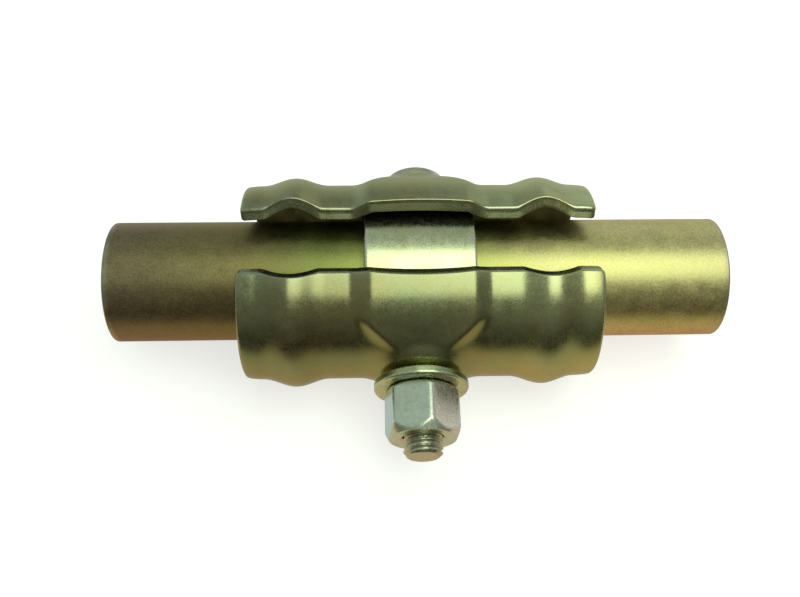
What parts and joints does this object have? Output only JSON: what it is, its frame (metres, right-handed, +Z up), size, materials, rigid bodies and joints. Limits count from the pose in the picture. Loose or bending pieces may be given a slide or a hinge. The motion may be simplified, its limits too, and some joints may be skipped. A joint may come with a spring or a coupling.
{
  "type": "scaffold tube end-to-end coupler",
  "caption": "Spigot with a centre collar inside two ribbed pressed jaws drawn together by one bolt; joins two scaffold tubes end to end.",
  "frame": {"origin": "centre of the bounding box on the surface the joint lies on, below the jaws' lower parting edges", "axes": "+X along the spigot and the tubes it joins, +Y along the bolt towards its head, +Z up from the surface it lies on"},
  "size_m": [0.1924, 0.0988, 0.0582],
  "materials": {
    "spigot_tube": "steel tube with a speckled matt yellow zinc chromate plating",
    "centre_collar": "smooth bright yellow zinc chromate plating",
    "pressed_jaw": "pressed sheet with a smooth olive-gold zinc chromate plating",
    "bolt_steel": "pale zinc plating with a faint gold tint",
    "washer": "yellow-green zinc chromate plating",
    "nut_steel": "silver zinc plating, satin"
  },
  "bodies": {
    "spigot": {"spigot_tube": "spigot_tube", "centre_collar": "centre_collar"},
    "head_jaw": {"head_side_jaw": "pressed_jaw", "clamp_bolt": "bolt_steel"},
    "nut_jaw": {"nut_side_jaw": "pressed_jaw"},
    "washer": {"plain_washer": "washer"},
    "nut": {"hex_nut": "nut_steel"}
  },
  "joints": [
    {"name": "nut_jaw_slide", "type": "slide", "parent": "spigot", "child": "nut_jaw", "axis": [0, 1, 0], "range_m": [-0.00292, 0.00437]},
    {"name": "head_jaw_slide", "type": "slide", "parent": "spigot", "child": "head_jaw", "axis": [0, -1, 0], "range_m": [-0.0024, 0.00355]},
    {"name": "washer_spin", "type": "hinge", "parent": "nut_jaw", "child": "washer", "pos_m": [0, -0.02715, 0.0291], "axis": [0, 1, 0], "continuous": true},
    {"name": "nut_spin", "type": "hinge", "parent": "nut_jaw", "child": "nut", "pos_m": [0, -0.03645, 0.0291], "axis": [0, 1, 0], "range_deg": [-1080, 1620]}
  ],
  "couplings": [
    {"joint": "nut_spin", "follows": "nut_jaw_slide", "rad_per_m": 6462.7},
    {"joint": "head_jaw_slide", "follows": "nut_jaw_slide", "ratio": 0.8}
  ]
}
